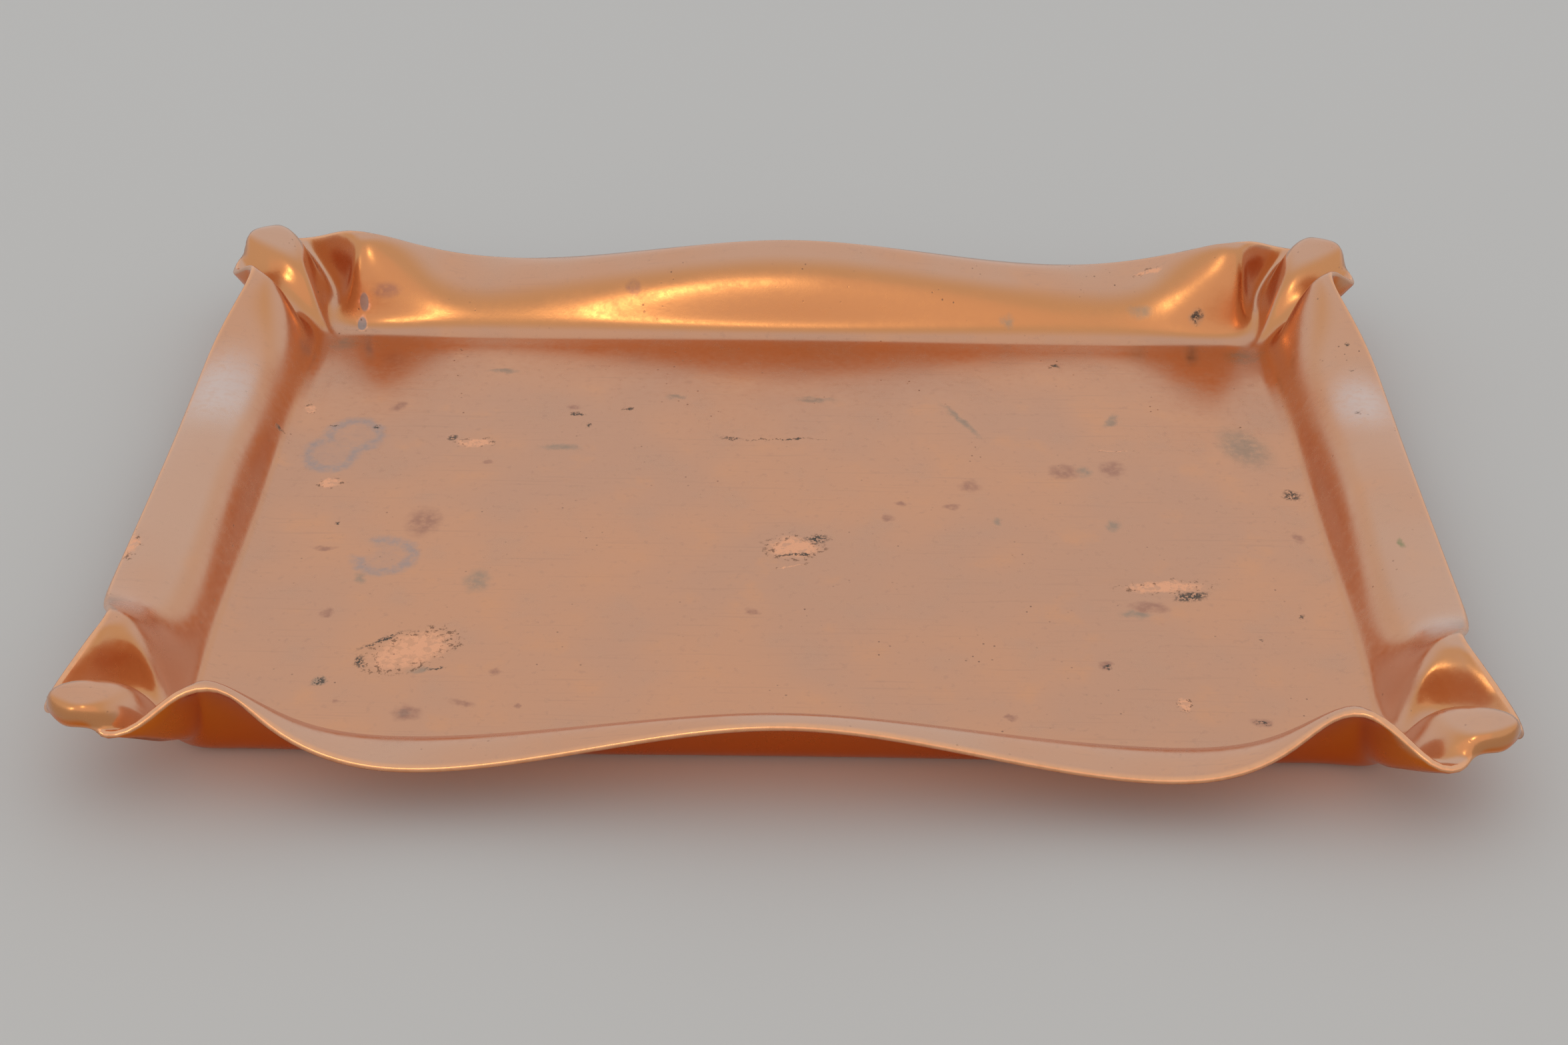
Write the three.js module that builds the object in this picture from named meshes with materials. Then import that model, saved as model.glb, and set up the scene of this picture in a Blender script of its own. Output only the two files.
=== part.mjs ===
// A shallow calling-card tray, raised by hand from one sheet of copper.
// Millimetres, +Z up. The origin is the middle of the flat underside, the long sides run along X.
//
// The sheet is one surface: a flat floor, a steep wall that flares out to a waving rim, and at each
// corner a tongue that stands between two pleats and curls over at its end. The surface is drawn as
// sections round the tray. Each section is a B-spline from the floor to the rim, and a smooth closed
// curve joins the matching points of neighbouring sections.
import * as THREE from "three";

// Driving dimensions
const SHEET = 1.2; // thickness of the copper
const FLOOR_HALF_LENGTH = 89; // middle of the tray to the foot of an end wall
const FLOOR_HALF_WIDTH = 62; // middle of the tray to the foot of a side wall
const FILLET_START = 2.6; // the floor stays flat up to this distance from the foot of the wall
const FOOT_INSET = 0.3; // pulls the fillet in a little from the foot
const FOLD_REACH = 1.4; // folds are opened out over about this distance round the tray
const BEND_REACH = 0.7; // and over this distance up the wall
const WALL_STEPS = 9; // facets from the floor to the rim
const SIDE_STEP = 6; // facet length along the sides
const CORNER_STEP = 1.8; // facet length round the corners
const LONG_SPAN = 10; // sections further apart than this are joined by side facets
const SWEEPS = 60; // passes that settle the smooth curves

// Wall sections: the place along the side, and points [out from the foot, up from the floor]
const LONG_HUMP = { at: 0, wall: [[0.9, 3], [3.2, 9.2], [6, 13.2], [8.7, 14.7], [10.7, 14.6]] };
const LONG_DIP = { wall: [[1.2, 2.8], [4, 6.8], [7.6, 9.1], [11, 9.2], [13.3, 8.8]] };
const LONG_RISE = { at: 70, wall: [[1, 3], [3.6, 8], [6.8, 11.2], [9.4, 12.2], [11.2, 12]] };
const END_HUMP = { at: 0, wall: [[1, 3], [3.8, 8], [7, 10.6], [10.4, 11.5], [13.7, 11.1]] };
const END_DIP = { at: 32, wall: [[1.2, 2.8], [4, 6.8], [7.6, 9.4], [11.5, 10], [14.6, 9.7]] };
const END_RISE = { at: 45, wall: [[1.1, 3], [4, 8.2], [7.2, 11.6], [10.2, 13], [12.4, 13]] };

// Corner sections: points [along the foot, past the corner; out from the foot; up from the floor]
const SIDE_CREST = [
  [-9, -2.6, 0], [-8, -0.3, 0], [-7.4, 1.1, 3.4], [-6.9, 2.7, 9.6], [-6.4, 4.6, 14.6],
  [-6.1, 6.4, 17], [-5.8, 7.8, 16.9],
];
const SIDE_PLEAT = [
  [-4.4, -2.8, 0], [-3, -0.6, 0], [-2, 1.6, 3], [-1.4, 4.4, 6.2], [-0.2, 7.4, 8.6],
  [2.2, 10.2, 10.4], [5.3, 12.9, 12],
];
const SIDE_FLANK = [
  [-3.6, -3.4, 0], [-2, -1.2, 0], [-0.8, 1.4, 3.6], [0.7, 4.6, 10], [3.4, 9, 15.8],
  [8.6, 13.4, 17.4], [8.4, 12.3, 13.2],
];
const TONGUE = [
  [-3.4, -3.4, 0], [-1.6, -1.6, 0], [-0.2, -0.2, 3.7], [1.5, 1.5, 10.4], [5.2, 5.2, 17],
  [12.4, 12.4, 18], [11.6, 11.6, 12.4],
];
const END_FLANK = [
  [-3.6, -3.4, 0], [-2, -1.2, 0], [-0.8, 1.4, 3.6], [0.7, 4.8, 10], [3.8, 10, 16],
  [9.4, 16, 17.4], [8.6, 14.6, 12.8],
];
const END_PLEAT = [
  [-4.4, -2.8, 0], [-3, -0.6, 0], [-2.2, 1.6, 3], [-1.8, 4.6, 6.2], [-0.8, 8, 8.4],
  [1.4, 12, 9.8], [4.9, 16, 11.1],
];
const END_CREST = [
  [-10, -2.6, 0], [-9, -0.3, 0], [-8.6, 1.2, 3.4], [-8.2, 3, 9.6], [-7.6, 5.4, 14.8],
  [-7.2, 7.8, 17.2], [-6.9, 9.3, 17.4],
];

// No two quarters of a hand-made tray match. Each has its signs in x and y, the rim's lift, the place and
// the lift of the long side's dip, how far the side pleat is pulled along the foot and out at the rim, and
// how far the crests are shifted along the foot.
const QUARTERS = [
  { x: 1, y: 1, lift: 1, dip: [55, 1], pleat: [1.2, 1.4], sideCrest: 1.5, endCrest: 3 },
  { x: 1, y: -1, lift: 0.95, dip: [52, 0.95], pleat: [-0.6, 1.5], sideCrest: -0.5, endCrest: -1.5 },
  { x: -1, y: -1, lift: 1.04, dip: [49, 0.9], pleat: [0, -0.8], sideCrest: 0.5, endCrest: 0 },
  { x: -1, y: 1, lift: 1, dip: [51, 1], pleat: [1.4, 1], sideCrest: -0.8, endCrest: -0.6 },
];

// A wall section's full list of points: the edge of the flat floor, the foot, then the wall
const fullWall = (section) => [[-FILLET_START, 0], [-FOOT_INSET, 0], ...section.wall];

const longSection = (section, at) =>
  fullWall(section).map(([out, up]) => new THREE.Vector3(at, FLOOR_HALF_WIDTH + out, up));

const endSection = (section) =>
  fullWall(section).map(([out, up]) => new THREE.Vector3(FLOOR_HALF_LENGTH + out, section.at, up));

// A corner section shifted along the foot, and pulled out more and more towards its rim
const pulled = (points, shift, pull = 0) =>
  points.map(([along, out, up], j) => [along + shift, out + (pull * j) / (points.length - 1), up]);

const sideCorner = (points) =>
  points.map(([along, out, up]) =>
    new THREE.Vector3(FLOOR_HALF_LENGTH + along, FLOOR_HALF_WIDTH + out, up));

const endCorner = (points) =>
  points.map(([along, out, up]) =>
    new THREE.Vector3(FLOOR_HALF_LENGTH + out, FLOOR_HALF_WIDTH + along, up));

// The sections of one quarter, from the long side round the corner to the end
function quarterSections(quarter) {
  const [shift, pull] = quarter.pleat;
  const [dipAt, dipLift] = quarter.dip;
  const lowered = new THREE.Vector3(1, 1, dipLift);
  const sections = [
    longSection(LONG_DIP, dipAt).map((point) => point.multiply(lowered)),
    longSection(LONG_RISE, LONG_RISE.at),
    sideCorner(pulled(SIDE_CREST, quarter.sideCrest)),
    sideCorner(pulled(SIDE_PLEAT, shift, pull)),
    sideCorner(pulled(SIDE_FLANK, shift / 2)),
    sideCorner(TONGUE),
    endCorner(END_FLANK),
    endCorner(END_PLEAT),
    endCorner(pulled(END_CREST, quarter.endCrest)),
    endSection(END_RISE),
    endSection(END_DIP),
  ];
  const place = new THREE.Vector3(quarter.x, quarter.y, quarter.lift);
  return sections.map((section) => section.map((point) => point.multiply(place)));
}

// Every section in order round the tray, clockwise seen from above
function allSections() {
  const mirror = (section, x, y) =>
    section.map((point) => point.clone().multiply(new THREE.Vector3(x, y, 1)));
  const [backRight, frontRight, frontLeft, backLeft] = QUARTERS.map(quarterSections);
  const longHump = longSection(LONG_HUMP, LONG_HUMP.at);
  const endHump = endSection(END_HUMP);
  return [
    longHump,
    ...backRight,
    endHump,
    ...frontRight.reverse(),
    mirror(longHump, 1, -1),
    ...frontLeft,
    mirror(endHump, -1, 1),
    ...backLeft.reverse(),
  ];
}

// Tangents of a closed curve through points, with even curvature across each point
function closedTangents(points, spans) {
  const count = points.length;
  const tangents = points.map(() => new THREE.Vector3());
  for (let sweep = 0; sweep < SWEEPS; sweep += 1) {
    for (let i = 0; i < count; i += 1) {
      const before = (i + count - 1) % count;
      const after = (i + 1) % count;
      const back = spans[before];
      const ahead = spans[i];
      const pull = new THREE.Vector3()
        .addScaledVector(points[i], 3 / back ** 2 - 3 / ahead ** 2)
        .addScaledVector(points[before], -3 / back ** 2)
        .addScaledVector(points[after], 3 / ahead ** 2)
        .addScaledVector(tangents[before], -1 / back)
        .addScaledVector(tangents[after], -1 / ahead);
      tangents[i] = pull.divideScalar(2 / back + 2 / ahead);
    }
  }
  return tangents;
}

// A point between two sections' points, a share t of the way along the span
function hermite(start, end, startTangent, endTangent, span, t) {
  return new THREE.Vector3()
    .addScaledVector(start, 2 * t ** 3 - 3 * t ** 2 + 1)
    .addScaledVector(end, 3 * t ** 2 - 2 * t ** 3)
    .addScaledVector(startTangent, (t ** 3 - 2 * t ** 2 + t) * span)
    .addScaledVector(endTangent, (t ** 3 - t ** 2) * span);
}

// A point of the cubic B-spline that starts and ends on its first and last control points
function bSpline(control, t) {
  const degree = 3;
  const spanCount = control.length - degree;
  const knot = (i) => THREE.MathUtils.clamp(i - degree, 0, spanCount);
  const u = t * spanCount;
  const span = Math.min(Math.floor(u), spanCount - 1);
  const work = control.slice(span, span + degree + 1).map((point) => point.clone());
  for (let level = 1; level <= degree; level += 1) {
    for (let i = degree; i >= level; i -= 1) {
      const low = knot(span + i);
      const high = knot(span + i + 1 + degree - level);
      work[i].lerpVectors(work[i - 1], work[i], (u - low) / (high - low));
    }
  }
  return work[degree];
}

// A line of points with each bend opened out over the given reach; the ends of an open line stay put
function relaxed(points, reach, closed) {
  const count = points.length;
  const result = points.map((point) => point.clone());
  const first = closed ? 0 : 1;
  const end = closed ? count : count - 1;
  for (let sweep = 0; sweep < SWEEPS; sweep += 1) {
    for (let i = first; i < end; i += 1) {
      const before = (i + count - 1) % count;
      const after = (i + 1) % count;
      const back = points[i].distanceTo(points[before]);
      const ahead = points[i].distanceTo(points[after]);
      const pullBack = (2 * reach ** 2) / ((back + ahead) * back);
      const pullAhead = (2 * reach ** 2) / ((back + ahead) * ahead);
      result[i]
        .copy(points[i])
        .addScaledVector(result[before], pullBack)
        .addScaledVector(result[after], pullAhead)
        .divideScalar(1 + pullBack + pullAhead);
    }
  }
  return result;
}

// The upper face of the sheet from the floor's edge to the rim, as rows of points round the tray
function upperRows() {
  const sections = allSections();
  const count = sections.length;
  const rim = sections.map((section) => section[section.length - 1]);
  const spans = rim.map((point, i) => point.distanceTo(rim[(i + 1) % count]));
  const strands = sections[0].map((_, j) => sections.map((section) => section[j]));
  const tangents = strands.map((strand) => closedTangents(strand, spans));
  const rows = [];
  for (let i = 0; i < count; i += 1) {
    const next = (i + 1) % count;
    const step = spans[i] > LONG_SPAN ? SIDE_STEP : CORNER_STEP;
    const facets = Math.max(2, Math.round(spans[i] / step));
    for (let facet = 0; facet < facets; facet += 1) {
      const control = strands.map((strand, j) =>
        hermite(strand[i], strand[next], tangents[j][i], tangents[j][next], spans[i], facet / facets));
      const row = [];
      for (let k = 0; k <= WALL_STEPS; k += 1) {
        const point = bSpline(control, k / WALL_STEPS);
        row.push(point.setZ(point.z + SHEET));
      }
      rows.push(row);
    }
  }
  const columns = rows[0].map((_, k) => relaxed(rows.map((row) => row[k]), FOLD_REACH, true));
  return rows.map((_, i) => relaxed(columns.map((column) => column[i]), BEND_REACH, false));
}

// The direction that the upper face looks in at each point of the rows
function rowNormals(rows) {
  const count = rows.length;
  return rows.map((row, i) =>
    row.map((_, k) => {
      if (k === 0) {
        return new THREE.Vector3(0, 0, 1);
      }
      const ahead = rows[(i + 1) % count][k];
      const behind = rows[(i + count - 1) % count][k];
      const round = new THREE.Vector3().subVectors(ahead, behind);
      const up = new THREE.Vector3().subVectors(row[Math.min(k + 1, WALL_STEPS)], row[k - 1]);
      return round.cross(up).normalize();
    }));
}

// The whole sheet as one closed mesh: upper face, rounded rim, lower face and both sides of the floor
function sheetGeometry() {
  const upper = upperRows();
  const normals = rowNormals(upper);
  const lower = upper.map((row, i) =>
    row.map((point, k) => {
      const under = point.clone().addScaledVector(normals[i][k], -SHEET);
      return under.setZ(Math.max(under.z, 0));
    }));
  const noses = upper.map((row, i) => {
    const outward = new THREE.Vector3().subVectors(row[WALL_STEPS], row[WALL_STEPS - 1]).normalize();
    return new THREE.Vector3()
      .addVectors(row[WALL_STEPS], lower[i][WALL_STEPS])
      .divideScalar(2)
      .addScaledVector(outward, SHEET / 2);
  });

  // Each loop runs from the upper floor edge, over the rim, to the lower floor edge
  const loops = upper.map((row, i) => [...row, noses[i], ...lower[i].slice().reverse()]);
  const loopLength = loops[0].length;
  const positions = loops.flat().flatMap((point) => point.toArray());
  const indices = [];
  loops.forEach((_, i) => {
    const here = i * loopLength;
    const next = ((i + 1) % loops.length) * loopLength;
    for (let k = 0; k + 1 < loopLength; k += 1) {
      indices.push(here + k, next + k + 1, here + k + 1, here + k, next + k, next + k + 1);
    }
  });

  // Both faces of the floor share one triangulation of the floor's outline
  const outline = upper.map((row) => new THREE.Vector2(row[0].x, row[0].y));
  THREE.ShapeUtils.triangulateShape(outline, []).forEach((triangle) => {
    const ring = triangle.map((corner) => corner * loopLength);
    const area = THREE.ShapeUtils.area(triangle.map((corner) => outline[corner]));
    const [a, b, c] = area > 0 ? ring : [ring[0], ring[2], ring[1]];
    const last = loopLength - 1;
    indices.push(a, b, c, a + last, c + last, b + last);
  });

  const geometry = new THREE.BufferGeometry();
  geometry.setAttribute("position", new THREE.Float32BufferAttribute(positions, 3));
  geometry.setIndex(indices);
  geometry.computeVertexNormals();

  // The corners differ, so the middle of the whole outline is put back on the origin
  geometry.computeBoundingBox();
  const middle = geometry.boundingBox.getCenter(new THREE.Vector3());
  geometry.translate(-middle.x, -middle.y, 0);
  return geometry;
}

const copper = new THREE.MeshStandardMaterial({ color: 0xb87a56, roughness: 0.3, metalness: 1 });
const traySheet = new THREE.Mesh(sheetGeometry(), copper);
traySheet.name = "tray_sheet";

const tray = new THREE.Group();
tray.name = "copper_tray";
tray.add(traySheet);

export default tray;
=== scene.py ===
"""A small copper tray raised from one sheet, with a waving rim and a pleated tongue at each corner.

The sheet is rebuilt here as one fine mesh from the sections that the CAD part is drawn with, and stands
for it. Shapes are in millimetres above the floor's upper face until they become a mesh, in metres.
"""

import math
from types import SimpleNamespace

import bpy
import numpy as np
from mathutils import Matrix, Vector, geometry


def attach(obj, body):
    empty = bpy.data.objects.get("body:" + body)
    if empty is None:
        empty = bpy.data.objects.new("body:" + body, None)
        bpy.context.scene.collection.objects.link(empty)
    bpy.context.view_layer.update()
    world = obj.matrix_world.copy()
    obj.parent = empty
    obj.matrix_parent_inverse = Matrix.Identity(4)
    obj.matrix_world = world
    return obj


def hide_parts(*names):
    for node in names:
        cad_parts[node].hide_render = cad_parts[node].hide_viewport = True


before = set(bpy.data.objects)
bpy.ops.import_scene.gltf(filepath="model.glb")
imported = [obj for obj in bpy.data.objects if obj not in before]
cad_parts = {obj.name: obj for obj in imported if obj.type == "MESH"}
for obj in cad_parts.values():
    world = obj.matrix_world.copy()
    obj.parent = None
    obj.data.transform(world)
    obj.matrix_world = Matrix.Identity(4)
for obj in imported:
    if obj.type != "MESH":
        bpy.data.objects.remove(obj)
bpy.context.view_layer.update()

MM = 0.001

# ---------------------------------------------------------------- the sheet's shape

SHEET = 1.2  # thickness of the copper
FLOOR_HALF_LENGTH = 89.0  # to the foot of an end wall
FLOOR_HALF_WIDTH = 62.0  # to the foot of a long wall
FILLET_START = 2.6  # how far inside the foot the fillet begins
FOOT_INSET = 0.3
FOLD_REACH = 1.4  # how far the folds are eased round the tray
BEND_REACH = 0.7  # and up the wall

# How finely the surface is drawn
WALL_STEPS = 30
SIDE_STEP = 1.6
CORNER_STEP = 0.6
LONG_SPAN = 10.0  # sections further apart than this take the side step
NOSE_STEPS = 5
FLOOR_NET = 3.0  # mesh width on the floor
FLOOR_NET_INSET = 2.0  # from the floor's edge to the net's first points
FLOOR_NET_END = 1.0  # and the least from its last points to the edge
FLOOR_NET_TOLERANCE = 1e-5
TANGENT_SWEEPS = 60
RELAX_SWEEPS = 120
RIM_BRIGHT_REACH = 2.2  # how far from the rim's edge it is painted bright, as rubbed wear and a painted highlight

# Wall sections: the place along the side, and points (out from the foot, up from the floor)
FOOT = [(-FILLET_START, 0), (-FOOT_INSET, 0)]
LONG_HUMP = (0, [(0.9, 3), (3.2, 9.2), (6, 13.2), (8.7, 14.7), (10.7, 14.6)])
LONG_DIP = (52, [(1.2, 2.8), (4, 6.8), (7.6, 9.1), (11, 9.2), (13.3, 8.8)])
LONG_RISE = (70, [(1, 3), (3.6, 8), (6.8, 11.2), (9.4, 12.2), (11.2, 12)])
END_HUMP = (0, [(1, 3), (3.8, 8), (7, 10.6), (10.4, 11.5), (13.7, 11.1)])
END_DIP = (32, [(1.2, 2.8), (4, 6.8), (7.6, 9.4), (11.5, 10), (14.6, 9.7)])
END_RISE = (45, [(1.1, 3), (4, 8.2), (7.2, 11.6), (10.2, 13), (12.4, 13)])

# Corner sections: (along the foot, past the corner; out from the foot; up from the floor)
SIDE_CREST = [(-9, -2.6, 0), (-8, -0.3, 0), (-7.4, 1.1, 3.4), (-6.9, 2.7, 9.6), (-6.4, 4.6, 14.6),
              (-6.1, 6.4, 17), (-5.8, 7.8, 16.9)]
SIDE_PLEAT = [(-4.4, -2.8, 0), (-3, -0.6, 0), (-2, 1.6, 3), (-1.4, 4.4, 6.2), (-0.2, 7.4, 8.6),
              (2.2, 10.2, 10.4), (5.3, 12.9, 12)]
SIDE_FLANK = [(-3.6, -3.4, 0), (-2, -1.2, 0), (-0.8, 1.4, 3.6), (0.7, 4.6, 10), (3.4, 9, 15.8),
              (8.6, 13.4, 17.4), (8.4, 12.3, 13.2)]
TONGUE = [(-3.4, -3.4, 0), (-1.6, -1.6, 0), (-0.2, -0.2, 3.7), (1.5, 1.5, 10.4), (5.2, 5.2, 17),
          (12.4, 12.4, 18), (11.6, 11.6, 12.4)]
END_FLANK = [(-3.6, -3.4, 0), (-2, -1.2, 0), (-0.8, 1.4, 3.6), (0.7, 4.8, 10), (3.8, 10, 16),
             (9.4, 16, 17.4), (8.6, 14.6, 12.8)]
END_PLEAT = [(-4.4, -2.8, 0), (-3, -0.6, 0), (-2.2, 1.6, 3), (-1.8, 4.6, 6.2), (-0.8, 8, 8.4),
             (1.4, 12, 9.8), (4.9, 16, 11.1)]
END_CREST = [(-10, -2.6, 0), (-9, -0.3, 0), (-8.6, 1.2, 3.4), (-8.2, 3, 9.6), (-7.6, 5.4, 14.8),
             (-7.2, 7.8, 17.2), (-6.9, 9.3, 17.4)]

# No two quarters of a hand-made tray match. Each has its signs in x and y, the rim's lift, the place
# and the lift of the long side's dip, how far the side pleat is pulled along the foot and out at the
# rim, and how far the side's and the end's crests are shifted along the foot.
QUARTERS = [
    {"sign": (1, 1), "lift": 1.0, "dip": (55, 1.0), "pleat": (1.2, 1.4), "crests": (1.5, 3)},
    {"sign": (1, -1), "lift": 0.95, "dip": (52, 0.95), "pleat": (-0.6, 1.5), "crests": (-0.5, -1.5)},
    {"sign": (-1, -1), "lift": 1.04, "dip": (49, 0.9), "pleat": (0, -0.8), "crests": (0.5, 0)},
    {"sign": (-1, 1), "lift": 1.0, "dip": (51, 1.0), "pleat": (1.4, 1), "crests": (-0.8, -0.6)},
]


def long_section(section, at):
    wall = FOOT + section[1]
    return np.array([(at, FLOOR_HALF_WIDTH + out, up) for out, up in wall], float)


def end_section(section):
    at, wall = section[0], FOOT + section[1]
    return np.array([(FLOOR_HALF_LENGTH + out, at, up) for out, up in wall], float)


def pulled(points, along=0.0, out=0.0):
    """A corner section shifted along the foot, and pulled out more and more towards its rim."""
    last = len(points) - 1
    return [(a + along, o + out * j / last, up) for j, (a, o, up) in enumerate(points)]


def side_corner(points):
    return np.array([(FLOOR_HALF_LENGTH + a, FLOOR_HALF_WIDTH + o, up) for a, o, up in points], float)


def end_corner(points):
    return np.array([(FLOOR_HALF_LENGTH + o, FLOOR_HALF_WIDTH + a, up) for a, o, up in points], float)


def quarter_sections(quarter):
    """The sections of one quarter, from the long side round the corner to the end."""
    along, out = quarter["pleat"]
    dip_at, dip_lift = quarter["dip"]
    side_shift, end_shift = quarter["crests"]
    sections = [long_section(LONG_DIP, dip_at) * (1, 1, dip_lift),
                long_section(LONG_RISE, LONG_RISE[0]),
                side_corner(pulled(SIDE_CREST, side_shift)),
                side_corner(pulled(SIDE_PLEAT, along, out)),
                side_corner(pulled(SIDE_FLANK, along / 2)),
                side_corner(TONGUE), end_corner(END_FLANK), end_corner(END_PLEAT),
                end_corner(pulled(END_CREST, end_shift)),
                end_section(END_RISE), end_section(END_DIP)]
    return [section * (*quarter["sign"], quarter["lift"]) for section in sections]


def all_sections():
    """Every section in order round the tray, clockwise seen from above."""
    back_right, front_right, front_left, back_left = [quarter_sections(q) for q in QUARTERS]
    long_hump, end_hump = long_section(LONG_HUMP, 0), end_section(END_HUMP)
    return np.array([long_hump] + back_right + [end_hump] + front_right[::-1]
                    + [long_hump * (1, -1, 1)] + front_left + [end_hump * (-1, 1, 1)] + back_left[::-1])


def closed_tangents(points, spans):
    """Tangents of a closed curve through points, with even curvature across each point."""
    tangents = np.zeros_like(points)
    count = len(points)
    for _ in range(TANGENT_SWEEPS):
        for i in range(count):
            before, after = (i - 1) % count, (i + 1) % count
            back, ahead = spans[before], spans[i]
            pull = 3 * ((points[i] - points[before]) / back ** 2
                        + (points[after] - points[i]) / ahead ** 2)
            tangents[i] = ((pull - tangents[before] / back - tangents[after] / ahead)
                           / (2 / back + 2 / ahead))
    return tangents


def hermite(start, end, start_tangent, end_tangent, span, t):
    return ((2 * t ** 3 - 3 * t ** 2 + 1) * start + (3 * t ** 2 - 2 * t ** 3) * end
            + (t ** 3 - 2 * t ** 2 + t) * span * start_tangent + (t ** 3 - t ** 2) * span * end_tangent)


def b_spline(control, t):
    """A point of the cubic B-spline that starts and ends on its first and last control points."""
    span_count = len(control) - 3
    u = t * span_count
    span = min(int(u), span_count - 1)
    work = [control[span + i] for i in range(4)]
    knots = np.clip(np.arange(len(control) + 4) - 3, 0, span_count)
    for level in range(1, 4):
        for i in range(3, level - 1, -1):
            low, high = knots[span + i], knots[span + i + 4 - level]
            share = (u - low) / (high - low)
            work[i] = (1 - share) * work[i - 1] + share * work[i]
    return work[3]


def relaxed(rows, reach, closed):
    """The rows, along their first axis, with each fold opened to what so thick a sheet can bend to."""
    steps = np.linalg.norm(np.roll(rows, -1, 0) - rows, axis=-1, keepdims=True)
    back = np.roll(steps, 1, 0)
    pull_back = 2 * reach ** 2 / ((back + steps) * back)
    pull_ahead = 2 * reach ** 2 / ((back + steps) * steps)
    count = len(rows)
    free = range(count) if closed else range(1, count - 1)
    result = rows.copy()
    for _ in range(RELAX_SWEEPS):
        for i in free:
            near = pull_back[i] * result[i - 1] + pull_ahead[i] * result[(i + 1) % count]
            result[i] = (rows[i] + near) / (1 + pull_back[i] + pull_ahead[i])
    return result


def upper_rows():
    """The upper face from the floor's edge to the rim: an array [round the tray][up the wall][xyz]."""
    sections = all_sections()
    rim = sections[:, -1]
    count = len(sections)
    spans = [float(np.linalg.norm(rim[(i + 1) % count] - rim[i])) for i in range(count)]
    tangents = np.stack([closed_tangents(sections[:, j], spans) for j in range(sections.shape[1])], 1)
    rows = []
    for i in range(count):
        after = (i + 1) % count
        step = SIDE_STEP if spans[i] > LONG_SPAN else CORNER_STEP
        facets = max(2, round(spans[i] / step))
        for facet in range(facets):
            control = hermite(sections[i], sections[after], tangents[i], tangents[after], spans[i],
                              facet / facets)
            rows.append([b_spline(control, k / WALL_STEPS) for k in range(WALL_STEPS + 1)])
    rows = np.array(rows)
    rows[:, :, 2] += SHEET
    rows = relaxed(rows, FOLD_REACH, True)
    return relaxed(rows.swapaxes(0, 1), BEND_REACH, False).swapaxes(0, 1)


def row_normals(rows):
    """The direction that the upper face looks in at each point of the rows."""
    around = np.roll(rows, -1, 0) - np.roll(rows, 1, 0)
    up = np.gradient(rows, axis=1)
    normals = np.cross(around, up)
    normals[:, 0] = (0, 0, 1)
    return normals / np.linalg.norm(normals, axis=2, keepdims=True)


def wall_loops(upper):
    """The wall's outline at each place round the tray: upper face, rounded rim and lower face."""
    normals = row_normals(upper)
    lower = upper - SHEET * normals
    lower[:, :, 2] = np.maximum(lower[:, :, 2], 0)
    outward = upper[:, -1] - upper[:, -2]
    outward /= np.linalg.norm(outward, axis=1, keepdims=True)
    middle = (upper[:, -1] + lower[:, -1]) / 2
    nose = []
    for step in range(1, NOSE_STEPS):
        angle = math.pi * step / NOSE_STEPS
        nose.append(middle + SHEET / 2 * (math.cos(angle) * normals[:, -1] + math.sin(angle) * outward))
    return np.concatenate([upper, np.stack(nose, 1), lower[:, ::-1]], 1)


def floor_net(outline):
    """A fine net of triangles inside the outline: points, triangles, and where each point came from."""
    half_x = FLOOR_HALF_LENGTH - FILLET_START
    half_y = FLOOR_HALF_WIDTH - FILLET_START
    inner = [Vector((x, y))
             for x in np.arange(-half_x + FLOOR_NET_INSET, half_x - FLOOR_NET_END, FLOOR_NET)
             for y in np.arange(-half_y + FLOOR_NET_INSET, half_y - FLOOR_NET_END, FLOOR_NET)]
    edges = [(i, (i + 1) % len(outline)) for i in range(len(outline))]
    points, _, triangles, origins, _, _ = geometry.delaunay_2d_cdt(
        outline + inner, edges, [], 1, FLOOR_NET_TOLERANCE)
    return points, triangles, origins


def rim_wear_and_highlight(loops):
    """1 on the rim's rounded edge, falling to 0 at the bright rim's reach from it."""
    steps = np.linalg.norm(np.diff(loops, axis=1), axis=2)
    path = np.concatenate([np.zeros((len(loops), 1)), np.cumsum(steps, 1)], 1)
    edge_path = path[:, WALL_STEPS + NOSE_STEPS // 2][:, None]
    return np.clip(1 - np.abs(path - edge_path) / RIM_BRIGHT_REACH, 0, 1)


def sheet_mesh(name):
    """One closed mesh: upper face, rounded rim, lower face, and both faces of the floor."""
    upper = upper_rows()
    loops = wall_loops(upper)
    count, length = loops.shape[:2]
    points = [tuple(p) for p in loops.reshape(-1, 3)]
    faces = []
    for i in range(count):
        here, after = i * length, ((i + 1) % count) * length
        for k in range(length - 1):
            faces.append((here + k, after + k, after + k + 1, here + k + 1))

    # One net closes both faces of the floor, joined to the walls by the outline's points
    net_points, triangles, origins = floor_net([Vector((p[0], p[1])) for p in upper[:, 0]])
    for face, height in ((0, SHEET), (length - 1, 0.0)):
        index = []
        for point, origin in zip(net_points, origins):
            if origin and origin[0] < count:
                index.append(origin[0] * length + face)
            else:
                index.append(len(points))
                points.append((point[0], point[1], height))
        for triangle in triangles:
            corners = [index[c] for c in triangle]
            faces.append(corners if face == 0 else corners[::-1])

    points = np.array(points)
    low, high = points.min(0), points.max(0)
    points[:, :2] -= (low[:2] + high[:2]) / 2
    mesh = bpy.data.meshes.new(name)
    mesh.from_pydata((points * MM).tolist(), [], faces)
    mesh.validate()
    for polygon in mesh.polygons:
        polygon.use_smooth = True

    values = np.zeros(len(points))
    values[:count * length] = rim_wear_and_highlight(loops).reshape(-1)
    attribute = mesh.attributes.new("rim", "FLOAT", "POINT")
    attribute.data.foreach_set("value", values.astype(np.float32))
    return mesh


# ---------------------------------------------------------------- material helpers


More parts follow.
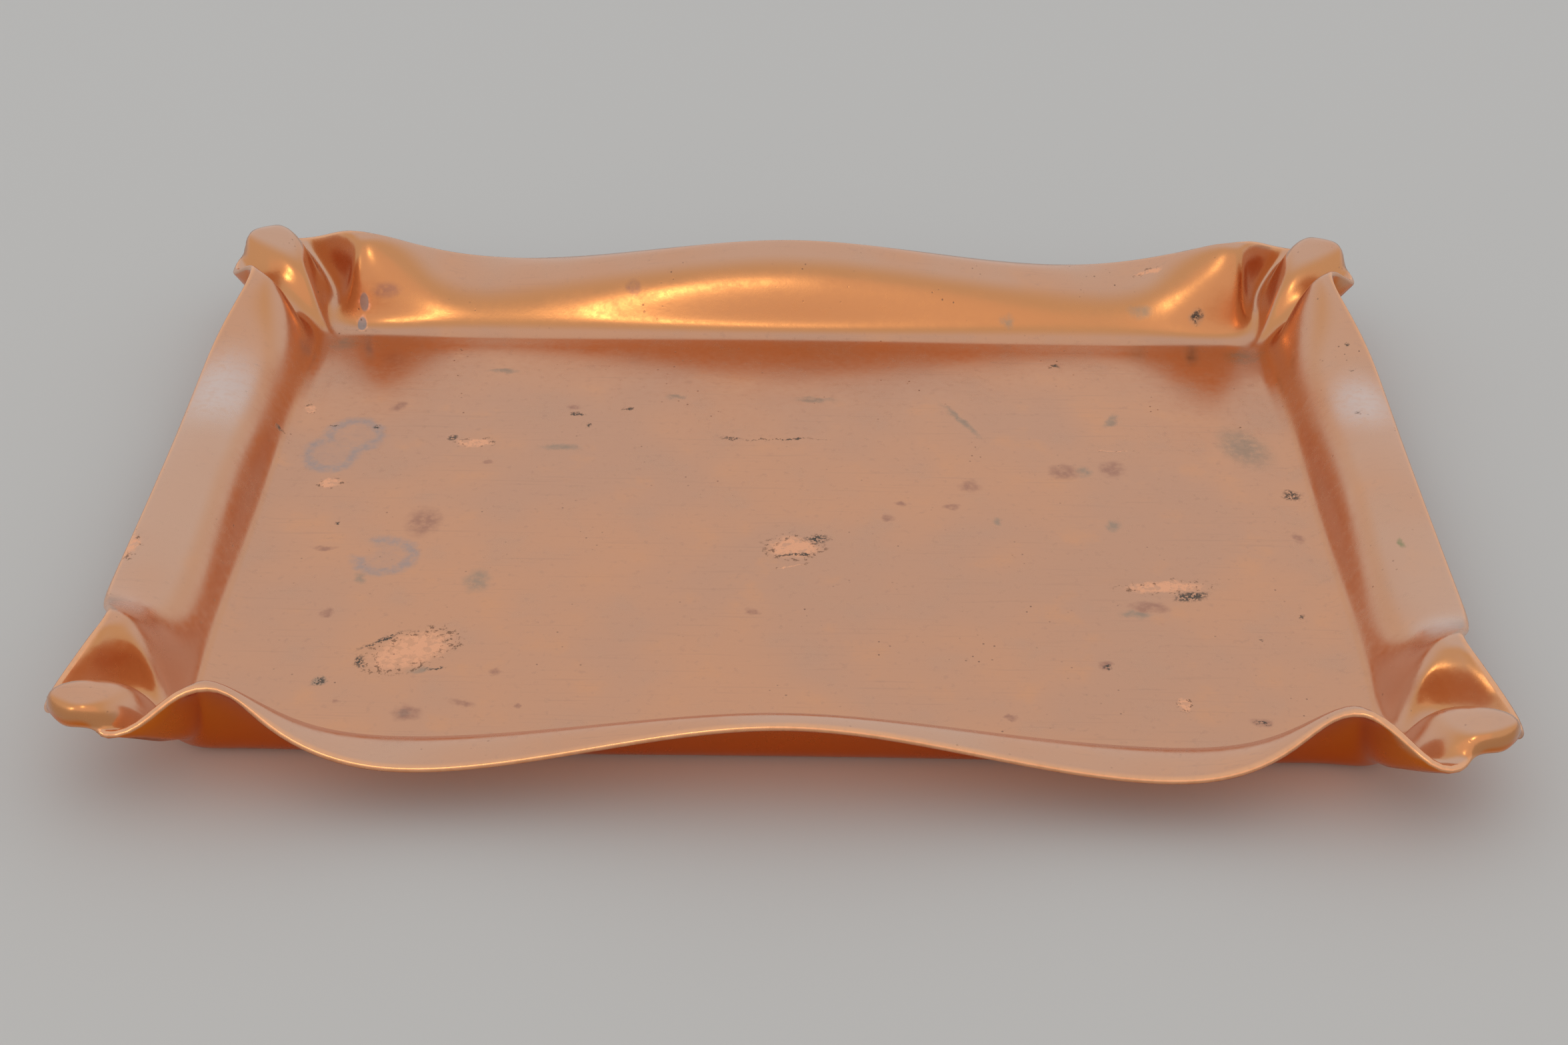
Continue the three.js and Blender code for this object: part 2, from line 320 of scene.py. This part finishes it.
class Nodes:
    """A short way to write one material's node tree."""

    def __init__(self, material):
        self.tree = material.node_tree
        self.tree.nodes.clear()

    def add(self, kind, **settings):
        node = self.tree.nodes.new(kind)
        for key, value in settings.items():
            setattr(node, key, value)
        return node

    def feed(self, node, **inputs):
        """Set or link inputs: i0, i1 … by number, and the others by name."""
        for key, value in inputs.items():
            numbered = key[0] == "i" and key[1:].isdigit()
            socket = node.inputs[int(key[1:])] if numbered else node.inputs[key.replace("_", " ")]
            if isinstance(value, bpy.types.NodeSocket):
                self.tree.links.new(value, socket)
            else:
                socket.default_value = value
        return node

    def maths(self, operation, a, b=0.0):
        node = self.add("ShaderNodeMath", operation=operation)
        self.feed(node, i0=a, i1=b)
        return node.outputs[0]

    def ramp(self, value, low, high, out_low=0.0, out_high=1.0):
        """A smooth step of value between low and high."""
        node = self.add("ShaderNodeMapRange", interpolation_type="SMOOTHSTEP")
        self.feed(node, i0=value, i1=low, i2=high, i3=out_low, i4=out_high)
        return node.outputs[0]

    def mix(self, share, a, b):
        node = self.add("ShaderNodeMix", data_type="RGBA")
        self.feed(node, i0=share, i6=a, i7=b)
        return node.outputs[2]

    def times(self, a, b):
        return self.maths("MULTIPLY", a, b)

    def noise(self, coords, size, detail, roughness=0.55):
        node = self.add("ShaderNodeTexNoise")
        self.feed(node, Vector=coords, Scale=1.0 / size, Detail=detail, Roughness=roughness)
        return node


def rgb(r, g, b):
    return (r, g, b, 1.0)


# ---------------------------------------------------------------- copper

# Linear colours of the patina and of the marks in it, and of painted reflection, shade and highlight
FLOOR_ORANGE = rgb(0.745, 0.378, 0.225)
FLOOR_PINK = rgb(0.69, 0.370, 0.238)
DULL_CLOUD = rgb(0.65, 0.37, 0.25)
WARM_CLOUD = rgb(0.80, 0.385, 0.205)
SPECKLE = rgb(0.46, 0.26, 0.19)
HAIRLINE = rgb(0.52, 0.29, 0.20)
# painted sky reflection: paler where the flare faces up
PAINTED_SKY_REFLECTION = rgb(0.76, 0.48, 0.345)
# whitish oxide, also a painted reflection where the end walls face up
WHITE = rgb(0.80, 0.68, 0.64)
# painted warm reflection on the steep walls; the end walls' paler tone follows their different patina
LONG_WALL_REFLECTION_TONE = rgb(0.72, 0.315, 0.125)
END_WALL_REFLECTION_TONE = rgb(0.73, 0.40, 0.26)
# painted dark shade and reflection on faces that look down
UNDERSIDE_SHADE = rgb(0.80, 0.19, 0.012)
SMEAR_GREY = rgb(0.33, 0.28, 0.22)
SPOT_BROWN = rgb(0.42, 0.20, 0.145)
RING_BLUE = rgb(0.41, 0.33, 0.31)
BARE_COPPER = rgb(0.98, 0.47, 0.27)
LILAC = rgb(0.33, 0.27, 0.26)
VERDIGRIS = rgb(0.22, 0.27, 0.13)
FLECK_BROWN = rgb(0.20, 0.10, 0.06)
PIT_BROWN = rgb(0.20, 0.11, 0.08)
CRUST_BLACK = rgb(0.055, 0.05, 0.04)
# the rim's edge: rubbed copper and a painted highlight
RIM_WEAR_AND_HIGHLIGHT = rgb(0.95, 0.48, 0.26)

# How uneven the surface is, in metres
PLANISHING = 0.00002
GRAIN_RELIEF = 0.00003

FLOOR_TOP = SHEET

# Marks left by long use: place (x, y, z) and half sizes in mm, turn in degrees
BLUE_RINGS = [  # pale drip rings
    ((-77, 24.5, FLOOR_TOP), (4.4, 4.6), 0), ((-80, 18.5, FLOOR_TOP), (4.0, 4.9), 0),
    ((-66, -12.5, FLOOR_TOP), (4.4, 4.4), 0),
]
RING_GAP = [((-70, -10.5, FLOOR_TOP), (3.2, 3.2), 0)]
GREY_SMEARS = [
    ((-53, 47.5, FLOOR_TOP), (4.2, 1.2), 0), ((-40.5, 21.5, FLOOR_TOP), (4.6, 1.4), 0),
    ((-21, 39, FLOOR_TOP), (2.6, 1.3), 0), ((4.5, 38.5, FLOOR_TOP), (4.6, 1.5), 0),
    ((-50, -19, FLOOR_TOP), (2.9, 4.4), -10), ((-69, -19, FLOOR_TOP), (1.6, 2.0), 0),
    ((30.5, 32, FLOOR_TOP), (1.1, 8.5), 30), ((35, 0, FLOOR_TOP), (1.3, 1.6), 0),
    ((51, 15.5, FLOOR_TOP), (1.9, 2.0), 0), ((54.5, -1, FLOOR_TOP), (1.8, 2.4), 0),
    ((57.5, 32.5, FLOOR_TOP), (1.2, 3.6), -25), ((55.5, -26, FLOOR_TOP), (3.6, 1.5), 0),
    ((80, 24, FLOOR_TOP), (5.5, 9), 20), ((-56, -43, FLOOR_TOP), (2.6, 1.1), 12),
    ((-71, -46, FLOOR_TOP), (1.3, 1.7), -30), ((-57, -53.5, FLOOR_TOP), (1.4, 1.3), 0),
    ((84, 56, 2), (5, 4.5), 0), ((-84, 57, 2), (4, 3.5), 0), ((76, 63.5, 5.5), (2.0, 2.0), 0),
    ((65.5, 64.5, 6), (3.4, 1.5), 0), ((40.5, 63.5, 4), (1.8, 1.5), 0),
]
BROWN_SPOTS = [
    ((-70.5, 34.5, FLOOR_TOP), (1.6, 2.4), -30), ((-52.5, 16.5, FLOOR_TOP), (1.2, 1.1), 0),
    ((-39, 35, FLOOR_TOP), (1.7, 1.1), 0), ((-76, -10.5, FLOOR_TOP), (2.8, 1.0), 0),
    ((-72.5, -28.5, FLOOR_TOP), (1.3, 1.5), 0), ((-5.5, -26.5, FLOOR_TOP), (1.5, 1.3), 0),
    ((31, 10.5, FLOOR_TOP), (2.6, 2.6), 0), ((19, 5, FLOOR_TOP), (1.4, 1.0), 0),
    ((16.5, 0.5, FLOOR_TOP), (1.5, 1.2), 0), ((27.5, 4, FLOOR_TOP), (1.8, 1.2), 0),
    ((47.5, 15.5, FLOOR_TOP), (3.2, 3.4), 0), ((56, 16.5, FLOOR_TOP), (3.2, 3.4), 0),
    ((85, -4, FLOOR_TOP), (1.3, 2.0), 0), ((-61, -2.5, FLOOR_TOP), (3.8, 5.6), 0),
    ((-44.5, -43, FLOOR_TOP), (1.2, 1.2), 0), ((-56.5, -53.5, FLOOR_TOP), (3.0, 2.6), 0),
    ((-48.5, -51, FLOOR_TOP), (2.6, 1.3), -15), ((-40, -51.5, FLOOR_TOP), (0.9, 0.8), 0),
    ((-67.5, -51, FLOOR_TOP), (0.8, 0.7), 0), ((49.5, -39.5, FLOOR_TOP), (1.5, 1.5), 0),
    ((71.5, -53, FLOOR_TOP), (2.2, 1.4), 0), ((34, -52.5, FLOOR_TOP), (1.6, 0.8), 0),
    ((-76.5, 64.5, 8.5), (3.4, 2), 0), ((-30, 66, 9), (1.6, 2.5), 0), ((58, -24, FLOOR_TOP), (4, 2), 0),
]
DARK_CRUST = [
    ((-10.5, 25, FLOOR_TOP), (2.3, 0.9), 0), ((-1, 25, FLOOR_TOP), (9.5, 0.28), 2),
    ((5, -6, FLOOR_TOP), (2.6, 1.6), 0), ((1.5, -10.5, FLOOR_TOP), (4.4, 0.6), 6),
    ((-73.5, 27.5, FLOOR_TOP), (0.8, 0.8), 0), ((-38, 32.5, FLOOR_TOP), (1.8, 0.9), 0),
    ((-36, 29, FLOOR_TOP), (0.8, 0.9), 0), ((-29, 34.5, FLOOR_TOP), (1.2, 1.1), 0),
    ((-75.5, -3, FLOOR_TOP), (0.5, 0.6), 20), ((48.5, 51.5, FLOOR_TOP), (1.5, 0.8), 0),
    ((86, 9, FLOOR_TOP), (2.2, 2.2), 0), ((65, -21, FLOOR_TOP), (4.0, 1.7), 14),
    ((-59.5, 24, FLOOR_TOP), (1.1, 1.2), 0), ((-71, -46, FLOOR_TOP), (1.1, 1.4), -30),
    ((71.5, -53, FLOOR_TOP), (1.6, 0.8), 0), ((81.5, -26, FLOOR_TOP), (0.7, 0.8), 0),
    ((74.5, -32.5, FLOOR_TOP), (0.35, 0.4), 0), ((-63, -35.5, FLOOR_TOP), (5.6, 0.7), 35),
    ((-65.5, -41, FLOOR_TOP), (1.2, 2.4), 20), ((-53.5, -42.5, FLOOR_TOP), (2.2, 0.6), 12),
    ((50, -40, FLOOR_TOP), (0.9, 0.7), 0), ((99.5, 41.5, 13), (0.8, 0.8), 0),
    ((99.5, 35, 12), (0.7, 0.7), 0), ((98, 20.5, 12), (0.8, 0.8), 0), ((76, 63.5, 5.5), (1.2, 1.2), 0),
    ((-89.5, 23, 3), (0.9, 1.0), 0), ((-81, 27.5, FLOOR_TOP), (0.9, 0.3), 10),
]
BARE_PATCHES = [  # rubbed through to bright metal
    ((-55.5, 22.5, FLOOR_TOP), (3.8, 1.7), 0), ((-58, -38, FLOOR_TOP), (8.2, 4.6), 35),
    ((61, -18.5, FLOOR_TOP), (7.5, 2.0), 4), ((1, -8.5, FLOOR_TOP), (5.0, 3.6), 0),
    ((60.5, -49, FLOOR_TOP), (1.3, 1.9), 0), ((56.5, 22.5, FLOOR_TOP), (3.6, 0.22), 0),
    ((0.5, -14, FLOOR_TOP), (3.6, 0.2), 18), ((67, 70, 12), (3.2, 0.8), 0),
    ((-104, -25, 11), (2.2, 4.5), 0), ((-81, 63.5, 6.5), (1.5, 2.2), 0),
    ((-81.5, 62, 2.5), (1.5, 1.6), 0), ((-86.5, 33, FLOOR_TOP), (1.3, 1.6), 0),
    ((-78.5, 9, FLOOR_TOP), (2.2, 1.6), 0),
]
LILAC_SPOTS = [((-81, 63.5, 6.5), (1.0, 1.5), 0), ((-81.5, 62, 2.5), (1.0, 1.1), 0)]
GREEN_SPOTS = [((97.5, -19, 12), (1.0, 1.8), 0)]
# places of whitish oxide on the end walls; where they face up it is also painted as a reflection
BLOOM_AND_SHEEN_PLACES = [((-99, 24, 11), (10, 19), 0), ((99, 24, 11), (8, 14), 0), ((-99, -48, 12), (8, 9), 0),
               ((99, -46, 12), (8, 10), 0)]
MARK_DEPTH = 2.2  # half size of a mark in z
BLOOM_AND_SHEEN_DEPTH = 6.0
WIPE_TURNS = (8, -35)  # directions of the hairline scratches, degrees


def mark_distance(n, coords, marks, depth):
    """Distance to the nearest mark's middle, as a share of that mark's size."""
    nearest = None
    for (x, y, z), (along, across), turn in marks:
        if turn:
            node = n.add("ShaderNodeMapping", vector_type="TEXTURE")
            n.feed(node, Vector=coords, Location=(x, y, z), Rotation=(0, 0, math.radians(turn)),
                   Scale=(along, across, depth))
        else:
            node = n.add("ShaderNodeVectorMath", operation="MULTIPLY_ADD")
            n.feed(node, i0=coords, i1=(1 / along, 1 / across, 1 / depth),
                   i2=(-x / along, -y / across, -z / depth))
        length = n.add("ShaderNodeVectorMath", operation="LENGTH")
        n.feed(length, i0=node.outputs[0])
        distance = length.outputs["Value"]
        nearest = distance if nearest is None else n.maths("MINIMUM", nearest, distance)
    return nearest


def patches(n, coords, marks, core, depth=MARK_DEPTH):
    """1 within core of a mark's size, falling to 0 at its edge."""
    return n.ramp(mark_distance(n, coords, marks, depth), 1.0, core)


def rings(n, coords, marks, half_width):
    """A line round the outline of the marks."""
    distance = mark_distance(n, coords, marks, MARK_DEPTH)
    off = n.maths("ABSOLUTE", n.maths("SUBTRACT", distance, 1.0))
    return n.ramp(off, half_width, 0.0)


def warped(n, coords, size, reach):
    """Coordinates pushed about by noise, so that a mark's edge wanders."""
    noise = n.noise(coords, size, 3.0, 0.6)
    centred = n.add("ShaderNodeVectorMath", operation="SUBTRACT")
    n.feed(centred, i0=noise.outputs["Color"], i1=(0.5, 0.5, 0.5))
    pushed = n.add("ShaderNodeVectorMath", operation="MULTIPLY_ADD")
    n.feed(pushed, i0=centred.outputs[0], i1=(reach, reach, 0), i2=coords)
    return pushed.outputs[0]


def surface(n):
    """What the material reads at a point: place and facing, and noises from broad to fine."""
    coords = n.add("ShaderNodeTexCoord").outputs["Object"]
    mm = n.feed(n.add("ShaderNodeVectorMath", operation="SCALE"), i0=coords, Scale=1.0 / MM).outputs[0]
    normal = n.add("ShaderNodeNewGeometry").outputs["Normal"]
    facing = n.feed(n.add("ShaderNodeSeparateXYZ"), i0=normal).outputs
    ragged = warped(n, mm, 2.4, 2.6)
    return SimpleNamespace(
        mm=mm, ragged=ragged, rough_edge=warped(n, ragged, 0.7, 1.0),
        height=n.feed(n.add("ShaderNodeSeparateXYZ"), i0=mm).outputs[2],
        facing_x=facing[0], facing_y=facing[1], facing_up=facing[2],
        broad=n.noise(mm, 40.0, 2.0).outputs[0],
        middling=n.noise(mm, 10.0, 4.0, 0.6).outputs[0],
        fine=n.noise(mm, 1.4, 4.0, 0.65).outputs[0],
        grain=n.noise(mm, 0.45, 3.0, 0.6).outputs[0])


def patina(n, at):
    """Warm brown and pink-grey clouds, with fine speckle and wiped hairlines."""
    colour = n.mix(n.ramp(at.broad, 0.38, 0.62), FLOOR_ORANGE, FLOOR_PINK)
    colour = n.mix(n.ramp(at.middling, 0.5, 0.75, 0.0, 0.45), colour, DULL_CLOUD)
    colour = n.mix(n.ramp(at.middling, 0.46, 0.25, 0.0, 0.5), colour, WARM_CLOUD)
    colour = n.mix(n.ramp(at.fine, 0.56, 0.72, 0.0, 0.22), colour, SPECKLE)
    for turn in WIPE_TURNS:
        wiped = n.add("ShaderNodeMapping")
        n.feed(wiped, Vector=at.mm, Rotation=(0, 0, math.radians(turn)), Scale=(0.05, 1.6, 1.0))
        hairs = n.noise(wiped.outputs[0], 1.0, 3.0, 0.6).outputs[0]
        colour = n.mix(n.ramp(hairs, 0.60, 0.72, 0.0, 0.22), colour, HAIRLINE)
    return colour


def walls(n, at, colour, bloom_and_sheen):
    """Painted sky reflection on the flare with whiter oxide patches and painted sheen, a deeper warm
    brown on steep faces that is a painted warm reflection, and painted dark shade on faces that look
    down.
    """
    # painted sky reflection: above 6.5 mm the flare is painted paler where it faces up
    painted_sky_mask = n.times(n.ramp(at.height, 6.5, 10.5), n.ramp(at.facing_up, 0.4, 0.75))
    colour = n.mix(n.times(painted_sky_mask, n.ramp(at.broad, 0.35, 0.65, 0.15, 0.6)), colour, PAINTED_SKY_REFLECTION)
    # whiter where the walls face up: whitish oxide and a painted reflection
    colour = n.mix(n.times(bloom_and_sheen, n.ramp(at.fine, 0.3, 0.6, 0.45, 0.7)), colour, WHITE)

    # painted warm reflection: steep faces that don't look towards the back are painted a deeper warm
    # brown, paler on the end walls
    steep = n.times(n.ramp(at.facing_up, 0.86, 0.6), n.ramp(at.facing_y, 0.7, 0.3))
    end_wall = n.ramp(n.maths("ABSOLUTE", at.facing_x), 0.55, 0.85)
    brown = n.mix(end_wall, LONG_WALL_REFLECTION_TONE, END_WALL_REFLECTION_TONE)
    colour = n.mix(n.times(steep, 0.9), colour, brown)
    # painted shade: faces that look down are painted a dark brown
    under = n.ramp(at.facing_up, 0.02, -0.2)
    return n.mix(n.times(under, 0.95), colour, UNDERSIDE_SHADE)


def stains(n, at, colour, smears):
    """Grey smears, brown spots and drip rings."""
    colour = n.mix(smears, colour, SMEAR_GREY)
    spots = n.times(patches(n, at.ragged, BROWN_SPOTS, 0.3), n.ramp(at.fine, 0.3, 0.6, 0.25, 0.7))
    colour = n.mix(spots, colour, SPOT_BROWN)

    within = n.times(patches(n, at.ragged, BLUE_RINGS, 0.8), 0.3)
    ring = n.maths("MAXIMUM", rings(n, at.ragged, BLUE_RINGS, 0.46), within)
    ring = n.times(ring, n.maths("SUBTRACT", 1.0, patches(n, at.mm, RING_GAP, 0.5)))
    return n.mix(n.times(ring, n.ramp(at.fine, 0.3, 0.6, 0.3, 0.7)), colour, RING_BLUE)


def bare_metal(n, at, colour, from_bare):
    """Patches rubbed bright, with lilac spots inside two of them, and a green spot."""
    bare = n.times(n.ramp(from_bare, 1.0, 0.55), n.ramp(at.fine, 0.42, 0.52, 0.3, 0.95))
    colour = n.mix(bare, colour, BARE_COPPER)
    lilac = patches(n, at.mm, LILAC_SPOTS, 0.7)
    colour = n.mix(n.times(lilac, 0.85), colour, LILAC)
    green = patches(n, at.ragged, GREEN_SPOTS, 0.5)
    return n.mix(n.times(green, 0.7), colour, VERDIGRIS)


def dirt(n, at, colour, from_bare, crust, pit):
    """Dark flecks round the bare patches, thinly scattered pits, and black crust."""
    edge = n.ramp(n.maths("ABSOLUTE", n.maths("SUBTRACT", from_bare, 0.85)), 0.35, 0.1)
    edge = n.times(edge, n.ramp(at.facing_up, 0.8, 0.95))
    flecks = n.times(edge, n.ramp(n.noise(at.mm, 0.9, 3.0, 0.7).outputs[0], 0.54, 0.62))
    colour = n.mix(n.times(flecks, 0.75), colour, FLECK_BROWN)
    colour = n.mix(n.times(pit, 0.75), colour, PIT_BROWN)
    return n.mix(n.times(crust, 0.9), colour, CRUST_BLACK)


def pits(n, at):
    """Small round pits, in some places only."""
    cells = n.add("ShaderNodeTexVoronoi")
    n.feed(cells, Vector=at.mm, Scale=0.55, Randomness=1.0)
    pit = n.ramp(cells.outputs["Distance"], 0.13, 0.06)
    return n.times(pit, n.ramp(n.noise(at.mm, 14.0, 3.0, 0.7).outputs[0], 0.50, 0.66))


def relief(n, at, crust, pit):
    """Planishing left the surface very slightly uneven; grain, pits and crust stand on top of that."""
    ripple = n.noise(at.mm, 7.0, 2.0, 0.5).outputs[0]
    soft_bump = n.add("ShaderNodeBump")
    n.feed(soft_bump, Strength=1.0, Distance=PLANISHING, Height=ripple)
    height = n.maths("ADD", n.times(at.fine, 0.5), n.times(at.grain, 0.3))
    height = n.maths("SUBTRACT", height, n.times(pit, 1.5))
    height = n.maths("ADD", height, crust)
    bump = n.add("ShaderNodeBump")
    n.feed(bump, Strength=0.6, Distance=GRAIN_RELIEF, Height=height, Normal=soft_bump.outputs[0])
    return bump.outputs[0]


def copper_material():
    material = bpy.data.materials.new("copper_old")
    material.use_nodes = True
    n = Nodes(material)
    at = surface(n)

    # whitish oxide on the end walls, kept to where they face up as a painted reflection; it also makes
    # them a little rougher
    bloom_and_sheen = n.times(patches(n, at.mm, BLOOM_AND_SHEEN_PLACES, 0.1, BLOOM_AND_SHEEN_DEPTH), n.ramp(at.facing_up, 0.35, 0.7))
    smears = n.times(patches(n, at.ragged, GREY_SMEARS, 0.2), n.ramp(at.fine, 0.25, 0.6, 0.25, 0.62))
    crust = n.times(patches(n, at.rough_edge, DARK_CRUST, 0.3), n.ramp(at.grain, 0.42, 0.52))
    from_bare = mark_distance(n, at.rough_edge, BARE_PATCHES, MARK_DEPTH)
    pit = pits(n, at)

    colour = walls(n, at, patina(n, at), bloom_and_sheen)
    colour = bare_metal(n, at, stains(n, at, colour, smears), from_bare)
    colour = dirt(n, at, colour, from_bare, crust, pit)
    # the rim's rounded edge is painted bright: partly rubbed wear, partly a painted highlight
    rim = n.add("ShaderNodeAttribute", attribute_name="rim").outputs["Fac"]
    worn_and_highlit = n.times(n.ramp(rim, 0.45, 0.85), n.ramp(at.fine, 0.3, 0.6, 0.6, 0.95))
    colour = n.mix(worn_and_highlit, colour, RIM_WEAR_AND_HIGHLIGHT)

    dull = n.maths("MAXIMUM", crust, n.times(smears, 0.5))
    roughness = n.maths("ADD", n.ramp(at.middling, 0.3, 0.7, 0.19, 0.26),
                        n.ramp(at.fine, 0.3, 0.8, -0.02, 0.06))
    roughness = n.maths("ADD", roughness, n.times(dull, 0.35))
    roughness = n.maths("ADD", roughness, n.times(bloom_and_sheen, 0.10))
    metal = n.maths("SUBTRACT", 1.0, n.times(crust, 0.7))

    shader = n.add("ShaderNodeBsdfPrincipled")
    n.feed(shader, Base_Color=colour, Metallic=metal, Roughness=roughness,
           Normal=relief(n, at, crust, pit))
    output = n.add("ShaderNodeOutputMaterial")
    n.tree.links.new(shader.outputs[0], output.inputs[0])
    return material


# ---------------------------------------------------------------- the tray

tray = bpy.data.objects.new("copper_sheet", sheet_mesh("copper_sheet"))
bpy.context.scene.collection.objects.link(tray)
tray.data.materials.append(copper_material())
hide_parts("tray_sheet")
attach(tray, "root")

# ---------------------------------------------------------------- floor, light and camera

FLOOR_REACH = 3.0
FLOOR_COLOUR = rgb(0.62, 0.60, 0.58)
SKY_COLOUR = rgb(0.95, 0.98, 1.0)
SKY_STRENGTH = 0.74

stand = bpy.data.meshes.new("floor")
stand.from_pydata([(-FLOOR_REACH, -FLOOR_REACH, 0), (FLOOR_REACH, -FLOOR_REACH, 0),
                   (FLOOR_REACH, FLOOR_REACH, 0), (-FLOOR_REACH, FLOOR_REACH, 0)], [], [(0, 1, 2, 3)])
floor = bpy.data.objects.new("floor", stand)
bpy.context.scene.collection.objects.link(floor)
floor_material = bpy.data.materials.new("floor_pale")
floor_material.use_nodes = True
floor_shader = floor_material.node_tree.nodes["Principled BSDF"]
floor_shader.inputs["Base Color"].default_value = FLOOR_COLOUR
floor_shader.inputs["Roughness"].default_value = 0.7
stand.materials.append(floor_material)

world = bpy.data.worlds.new("studio")
bpy.context.scene.world = world
world.use_nodes = True
background = world.node_tree.nodes["Background"]
background.inputs["Color"].default_value = SKY_COLOUR
background.inputs["Strength"].default_value = SKY_STRENGTH


def softbox(name, place, target, size, power, colour):
    """A soft rectangular light at place, turned to target."""
    light = bpy.data.lights.new(name, "AREA")
    light.shape = "RECTANGLE"
    light.size, light.size_y = size
    light.energy = power
    light.color = colour
    holder = bpy.data.objects.new(name, light)
    bpy.context.scene.collection.objects.link(holder)
    holder.location = place
    aim = Vector(target) - Vector(place)
    holder.rotation_euler = aim.to_track_quat("-Z", "Y").to_euler()


softbox("warm_card", place=(0, -1.6, 0.62), target=(0, 0, 0.05), size=(3.0, 1.25), power=1.7,
        colour=(1.0, 0.35, 0.05))
softbox("lamp", place=(-0.19, -1.23, 0.735), target=(-0.025, 0.065, 0), size=(0.18, 0.12), power=0.6,
        colour=(1.0, 0.88, 0.5))
softbox("side_lamp", place=(-1.15, -1.0, 0.22), target=(-0.08, 0.065, 0), size=(0.16, 0.2), power=0.6,
        colour=(1.0, 0.88, 0.55))

LENS_MM = 55.1
SENSOR_MM = 36.0
PITCH, ROLL, YAW = math.radians(34.10), math.radians(0.42), math.radians(0.58)
CAMERA_AT = Vector((2.67, -334.25, 226.68)) * MM

camera = bpy.data.objects.new("camera", bpy.data.cameras.new("camera"))
bpy.context.scene.collection.objects.link(camera)
camera.data.lens = LENS_MM
camera.data.sensor_width = SENSOR_MM
turn = (Matrix.Rotation(YAW, 4, "Z") @ Matrix.Rotation(math.pi / 2 - PITCH, 4, "X")
        @ Matrix.Rotation(ROLL, 4, "Z"))
camera.matrix_world = Matrix.Translation(CAMERA_AT) @ turn
camera.data.clip_start = 0.01
bpy.context.scene.camera = camera
bpy.context.scene.view_settings.view_transform = "Standard"
